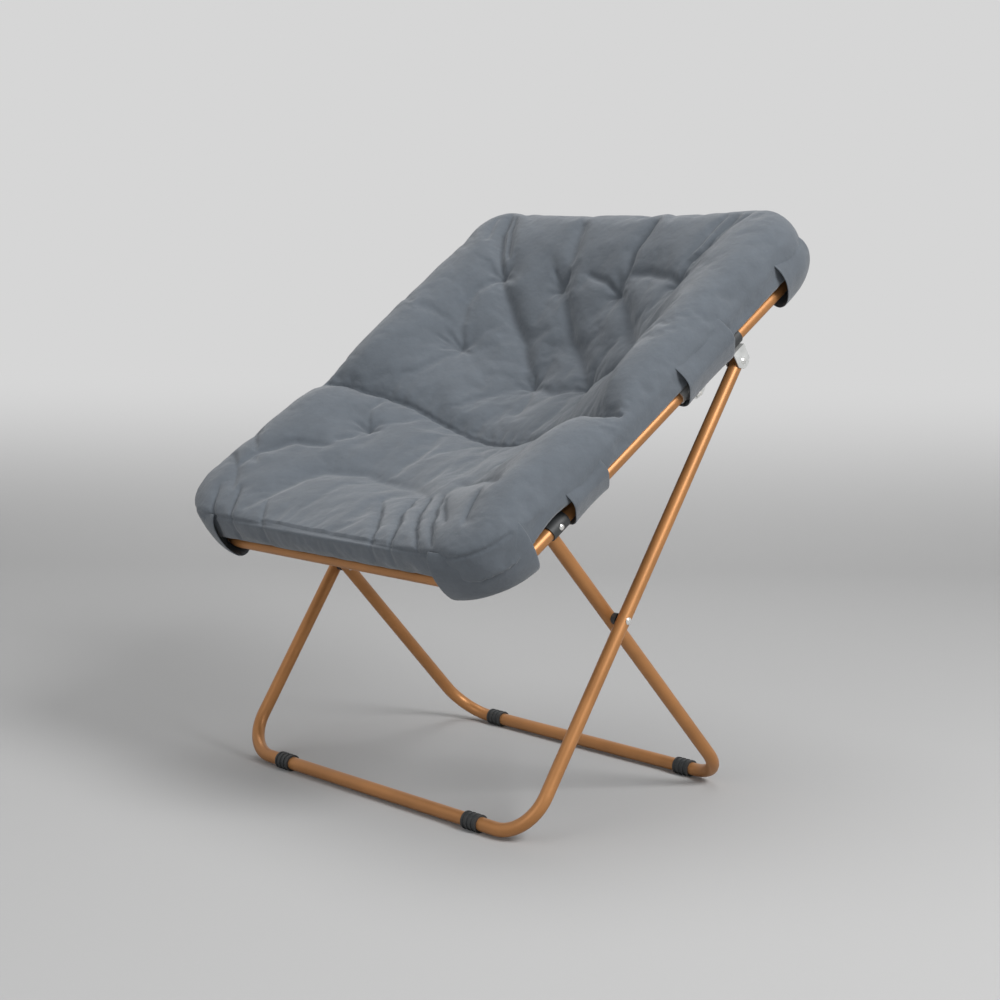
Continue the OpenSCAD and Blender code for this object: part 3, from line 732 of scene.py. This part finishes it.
def strap_profile(round_points, slack):
    """A smooth line through the round's points, drawn out by slack away from the tube."""
    points = np.array(round_points)
    t = np.arange(len(points))
    fine = np.linspace(0, len(points) - 1, 41)
    out, up = (sum(np.interp(fine + k * 0.45, t, points[:, a]) for k in (-1, 0, 1)) / 3 for a in (0, 1))
    reach = np.hypot(out, up)
    grow = np.maximum(slack, (TUBE_R + 0.0016) / reach)
    return out * grow, up * grow


def corner_rows(side, back):
    """Rows of a pocket round a corner of the ring."""
    rows = []
    steps = 30
    arc, profile = (BACK_POCKET_ARC, BACK_POCKET_ROUND) if back else (FRONT_POCKET_ARC, FRONT_POCKET_ROUND)
    for k, degrees in enumerate(np.linspace(*arc, steps)):
        share = k / (steps - 1)
        angle = math.radians(min(degrees, 90))
        past = max(degrees - 90, 0) * PAST_CORNER
        slack = 1 + 0.07 * (2 * abs(share - 0.5)) ** 6 + 0.03 * math.sin(8 * share + side)
        out, up = strap_profile(profile, slack)
        up = up - 0.0022 * math.sin(math.pi * share) * smooth(-up / 0.02)
        u = RING_BEND - (RING_BEND + out) * math.cos(angle) + past
        v = RING_HALF - RING_BEND + (RING_BEND + out) * math.sin(angle)
        rows.append(on_ring(RING_LEN - u if back else u, side * v, up))
    return rows


class CHAIR_OT_pockets(bpy.types.Operator):
    """Make the cloth pockets that hold the cushion on the ring's corners"""
    bl_idname = "chair.pockets"
    bl_label = "Corner pockets"

    def execute(self, context):
        for label, side in SIDES:
            for end, back, body in (("front", False, "ring_seat"), ("back", True, "ring_back")):
                node = f"{end}_pocket_{label}"
                piece = strap(f"{node}_cloth", corner_rows(side, back))
                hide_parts(node)
                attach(piece, body)
                if not back:
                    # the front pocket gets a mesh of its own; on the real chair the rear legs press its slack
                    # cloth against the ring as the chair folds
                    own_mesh(piece)
        return {"FINISHED"}


def side_rows(side, run, slack):
    """Rows of a loop along the ring's side."""
    rows = []
    steps = 20
    for k, u in enumerate(np.linspace(*run, steps)):
        share = k / (steps - 1)
        ease = slack + 0.07 * (2 * abs(share - 0.5)) ** 6 + 0.025 * math.sin(7 * share + side)
        out, up = strap_profile(LOOP_ROUND, ease)
        rows.append(on_ring(np.full_like(out, u), side * (RING_HALF + out), up))
    return rows


class CHAIR_OT_loops(bpy.types.Operator):
    """Make the cloth loops that hold the cushion on the ring's sides"""
    bl_idname = "chair.loops"
    bl_label = "Side loops"

    def execute(self, context):
        for label, side in SIDES:
            piece = strap(f"front_loop_{label}_cloth", side_rows(side, FRONT_LOOP_RUN, 1.0))
            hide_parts(f"front_loop_{label}")
            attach(piece, "ring_seat")
            piece = strap(
                f"back_loop_{label}_cloth", side_rows(side, BACK_FLAP_RUN, FLAP_SLACK))
            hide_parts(f"back_loop_{label}")
            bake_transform(piece)
        return {"FINISHED"}


class CHAIR_OT_hardware(bpy.types.Operator):
    """Finish the tubes, feet, sleeves, brackets, hinges and rivets"""
    bl_idname = "chair.hardware"
    bl_label = "Frame and fittings"

    def execute(self, context):
        slots = {s["node"]: s["material_slot"] for s in frame["record"]["subparts"]}
        for node, piece in frame["nodes"].items():
            piece.data.materials.clear()
            piece.data.materials.append(FINISHES[slots[node]])
        return {"FINISHED"}


# Stage

CAMERA_PLACE = (2.0351, RING_FRONT_Y - 1.6210, 0.7532)
CAMERA_YAW, CAMERA_PITCH, CAMERA_ROLL = (math.radians(a) for a in (46.714, 7.115, 0.651))
PICTURE_WIDTH = 1000
FOCAL_LENGTH = 1926.7       # in the unit of the picture's width
SENSOR_WIDTH = 36
FLOOR_TONE = 0.46
WALL_TONE = 0.672
WALL_HEIGHT = 0.40          # the wall's even tone is reached at this height
WORLD_TONE, WORLD_STRENGTH = 0.80, 0.62
FLOOR_FLAT, FLOOR_BEND = 1.9, 1.6       # behind the origin, and the curve's radius
FLOOR_REACH, WALL_REACH = 40.0, 30.0
# Soft round lights: name, place, aim, width in metres and power in watts
LIGHTS = (
    ("key_light", (3.3, 0.2, 2.9), (0, 0, 0.5), 1.8, 135),
    ("top_light", (-0.6, 0.4, 3.6), (0, 0, 0.4), 2.6, 44),
    ("front_light", (0.2, -3.8, 1.6), (0, 0, 0.4), 2.4, 24))


def add_light(name, place, aim, size, power):
    """A soft round light aimed at a point."""
    bpy.ops.object.light_add(type="AREA", location=place)
    lamp = bpy.context.object
    lamp.name = name
    lamp.data.shape = "DISK"
    lamp.data.size = size
    lamp.data.energy = power
    lamp.rotation_euler = (Vector(aim) - Vector(place)).to_track_quat("-Z", "Y").to_euler()


def sweep_floor():
    """A pale floor that curves up behind the chair into a wall, facing the camera."""
    run = [(-FLOOR_REACH, 0.0), (FLOOR_FLAT, 0.0)]
    run += [(FLOOR_FLAT + FLOOR_BEND * math.sin(a), FLOOR_BEND - FLOOR_BEND * math.cos(a))
            for a in np.linspace(0.05, math.pi / 2, 24)]
    run += [(FLOOR_FLAT + FLOOR_BEND, WALL_REACH)]
    turn = Matrix.Rotation(CAMERA_YAW, 3, "Z")
    points = [turn @ Vector((x, y, z)) for y, z in run for x in (-FLOOR_REACH, FLOOR_REACH)]
    faces = [(2 * k, 2 * k + 1, 2 * k + 3, 2 * k + 2) for k in range(len(run) - 1)]
    floor = mesh_object("pale_floor", points, faces)
    for polygon in floor.data.polygons:
        polygon.use_smooth = True
    return floor


def floor_finish():
    """Matt pale paint; the wall keeps its even tone to the eye and in reflections."""
    material, tree, shader, place = new_material("pale_floor_paint")
    shader.inputs["Base Color"].default_value = (FLOOR_TONE, FLOOR_TONE, FLOOR_TONE, 1)
    shader.inputs["Roughness"].default_value = 1.0
    shader.inputs["Specular IOR Level"].default_value = 0.0
    height = tree.nodes.new("ShaderNodeSeparateXYZ")
    tree.links.new(place, height.inputs[0])
    climb = tree.nodes.new("ShaderNodeMapRange")
    climb.interpolation_type = "SMOOTHSTEP"
    tree.links.new(height.outputs["Z"], climb.inputs["Value"])
    climb.inputs["From Max"].default_value = WALL_HEIGHT
    rays = tree.nodes.new("ShaderNodeLightPath")
    seen = maths(tree, "MAXIMUM", rays.outputs["Is Camera Ray"], rays.outputs["Is Glossy Ray"])
    wall = tree.nodes.new("ShaderNodeEmission")
    wall.inputs["Color"].default_value = (WALL_TONE, WALL_TONE, WALL_TONE, 1)
    mix = tree.nodes.new("ShaderNodeMixShader")
    tree.links.new(maths(tree, "MULTIPLY", seen, climb.outputs["Result"]), mix.inputs[0])
    tree.links.new(shader.outputs[0], mix.inputs[1])
    tree.links.new(wall.outputs[0], mix.inputs[2])
    tree.links.new(mix.outputs[0], tree.nodes["Material Output"].inputs["Surface"])
    return material


def add_camera(scene):
    """The camera of the front three-quarter view."""
    data = bpy.data.cameras.new("photo_camera")
    data.sensor_width = SENSOR_WIDTH
    data.lens = data.sensor_width * FOCAL_LENGTH / PICTURE_WIDTH
    camera = bpy.data.objects.new("photo_camera", data)
    scene.collection.objects.link(camera)
    camera.matrix_world = (
        Matrix.Translation(CAMERA_PLACE) @ Matrix.Rotation(CAMERA_YAW, 4, "Z")
        @ Matrix.Rotation(math.pi / 2 - CAMERA_PITCH, 4, "X") @ Matrix.Rotation(CAMERA_ROLL, 4, "Z"))
    scene.camera = camera


class CHAIR_OT_stage(bpy.types.Operator):
    """Make the camera, the soft lights and the pale floor"""
    bl_idname = "chair.stage"
    bl_label = "Stage"

    def execute(self, context):
        scene = context.scene
        add_camera(scene)
        bpy.ops.object.select_all(action="DESELECT")
        floor = sweep_floor()
        floor.data.materials.append(floor_finish())
        world = bpy.data.worlds.new("studio")
        scene.world = world
        world.use_nodes = True
        sky = world.node_tree.nodes["Background"]
        sky.inputs["Color"].default_value = (WORLD_TONE, WORLD_TONE, WORLD_TONE, 1)
        sky.inputs["Strength"].default_value = WORLD_STRENGTH
        for light in LIGHTS:
            add_light(*light)
        scene.view_settings.view_transform = "Standard"
        return {"FINISHED"}


class CHAIR_PT_panel(bpy.types.Panel):
    """Lists the steps that dress the chair"""
    bl_label = "Saucer chair"
    bl_space_type = "VIEW_3D"
    bl_region_type = "UI"
    bl_category = "Saucer chair"

    def draw(self, context):
        for step in STEPS:
            self.layout.operator(step.bl_idname)
        for settings in (context.scene.chair_cushion, context.scene.chair_finishes):
            for key in settings.__annotations__:
                self.layout.prop(settings, key)


STEPS = (CHAIR_OT_stage, CHAIR_OT_hardware, CHAIR_OT_cushion, CHAIR_OT_pockets, CHAIR_OT_loops)
CLASSES = (ChairCushionSizes, ChairFinishes, *STEPS, CHAIR_PT_panel)


def register():
    for cls in CLASSES:
        bpy.utils.register_class(cls)
    bpy.types.Scene.chair_cushion = bpy.props.PointerProperty(type=ChairCushionSizes)
    bpy.types.Scene.chair_finishes = bpy.props.PointerProperty(type=ChairFinishes)


def unregister():
    del bpy.types.Scene.chair_cushion
    del bpy.types.Scene.chair_finishes
    for cls in reversed(CLASSES):
        bpy.utils.unregister_class(cls)


def main():
    register()
    make_finishes()
    bpy.ops.chair.stage()
    bpy.ops.chair.hardware()
    bpy.ops.chair.cushion()
    bpy.ops.chair.pockets()
    bpy.ops.chair.loops()
    bpy.context.view_layer.update()


if __name__ == "__main__":
    main()
